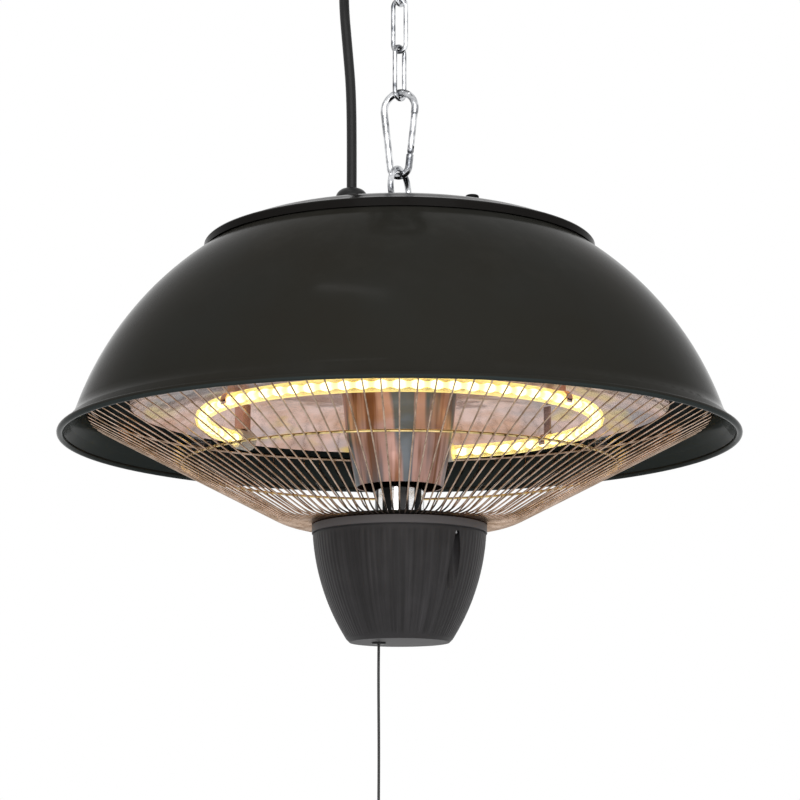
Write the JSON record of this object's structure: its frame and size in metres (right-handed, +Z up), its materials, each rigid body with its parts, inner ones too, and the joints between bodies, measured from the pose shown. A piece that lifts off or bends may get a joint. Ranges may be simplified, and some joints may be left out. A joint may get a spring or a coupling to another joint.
{
  "type": "patio heater",
  "caption": "Hanging electric patio heater: spun steel shade, ring lamp under a wire guard, pull-cord switch cup, chain with snap hook and a mains lead.",
  "frame": {"origin": "middle of the ceiling plate's top face, on the ceiling", "axes": "+Z up, +Y away from the picture's near side, +X to its right"},
  "size_m": [0.43, 0.4298, 0.6857],
  "materials": {
    "zinc": "bright",
    "shade_paint": "gloss",
    "cover_paint": "satin",
    "moulded": "satin",
    "copper": "polished",
    "aluminium": "satin",
    "quartz": "clear",
    "tungsten": "bright",
    "ceramic": "matt",
    "black_steel": "satin",
    "chrome": "polished",
    "steel": "satin",
    "brass": "satin",
    "rubber": "matt",
    "silicone": "matt",
    "pull_cord": "matt",
    "nylon": "satin",
    "bakelite": "satin"
  },
  "bodies": {
    "ceiling": {"ceiling_plate": "zinc", "ceiling_hook": "zinc"},
    "upper_link": {"chain_link_1": "zinc"},
    "chain": {"chain_link_2": "zinc", "power_cord_run": "rubber", "power_cord_hank": "rubber", "power_cord_tail": "rubber", "plug_body": "rubber", "plug_pins": "brass", "cable_ties": "nylon"},
    "link_3": {"chain_link_3": "zinc"},
    "link_4": {"chain_link_4": "zinc"},
    "link_5": {"chain_link_5": "zinc"},
    "carabiner": {"carabiner_body": "zinc", "gate_pin": "steel"},
    "gate": {"carabiner_gate": "zinc"},
    "heater": {"eye_bolt": "zinc", "spacer_sleeve": "steel", "hanger_nut": "steel", "shade": "shade_paint", "top_cover": "cover_paint", "cover_posts": "steel", "cover_screws": "black_steel", "gland_body": "nylon", "gland_cap": "nylon", "gland_locknut": "nylon", "centre_tube": "steel", "flange_screws": "steel", "heat_shield": "aluminium", "shield_stays": "steel", "reflector_dish": "copper", "reflector_cone": "copper", "reflector_spacers": "steel", "reflector_screws": "steel", "lamp_ring": "quartz", "lamp_filament": "tungsten", "lamp_end_caps": "ceramic", "lamp_clips": "steel", "lamp_leads": "silicone", "supply_lead": "rubber", "guard_wires": "chrome", "guard_top_ring": "chrome", "guard_middle_ring": "chrome", "guard_clips": "steel", "guard_clamp_ring": "black_steel", "cup": "moulded", "cup_lid": "moulded", "tube_nut": "steel", "cup_screws": "steel", "switch_body": "bakelite", "switch_terminals": "brass", "fixed_contacts": "brass", "return_spring": "steel", "cord_bush": "nylon", "terminal_block": "ceramic", "cup_leads": "silicone"},
    "pull": {"pull_rod": "nylon", "contact_bridge": "brass", "pull_cord": "pull_cord", "pull_knob": "nylon"}
  },
  "joints": [
    {"name": "chain_swing", "type": "hinge", "parent": "ceiling", "child": "upper_link", "pos_m": [0, 0, -0.03991], "axis": [0.866, -0.5, 0], "range_deg": [-10, 10]},
    {"name": "chain_sway", "type": "hinge", "parent": "upper_link", "child": "chain", "pos_m": [0, 0, -0.07096], "axis": [0.5, 0.866, 0], "range_deg": [-10, 10]},
    {"name": "link_3_turn", "type": "hinge", "parent": "chain", "child": "link_3", "pos_m": [0, 0, -0.1174], "axis": [0, 0, 1], "range_deg": [0, 12]},
    {"name": "link_4_turn", "type": "hinge", "parent": "chain", "child": "link_4", "pos_m": [0, 0, -0.1494], "axis": [0, 0, 1], "range_deg": [-12, 0]},
    {"name": "link_5_turn", "type": "hinge", "parent": "chain", "child": "link_5", "pos_m": [0, 0, -0.1815], "axis": [0, 0, 1], "range_deg": [0, 12]},
    {"name": "carabiner_turn", "type": "hinge", "parent": "chain", "child": "carabiner", "pos_m": [0, 0, -0.223], "axis": [0, 0, 1], "range_deg": [-10, 0]},
    {"name": "gate_open", "type": "hinge", "parent": "carabiner", "child": "gate", "pos_m": [0.00711, -0.00331, -0.23385], "axis": [-0.4226, -0.9063, 0], "range_deg": [0, 22], "stiffness_Nm_per_rad": 0.02, "springref_deg": -20.05},
    {"name": "heater_tilt", "type": "hinge", "parent": "chain", "child": "heater", "pos_m": [0, 0, -0.25081], "axis": [0.9063, -0.4226, 0], "range_deg": [-12, 12], "deforming": ["power_cord_run"]},
    {"name": "switch_pull", "type": "slide", "parent": "heater", "child": "pull", "axis": [0, 0, -1], "range_m": [0, 0.008], "stiffness_N_per_m": 300, "springref_m": -0.004, "deforming": ["return_spring"]}
  ]
}
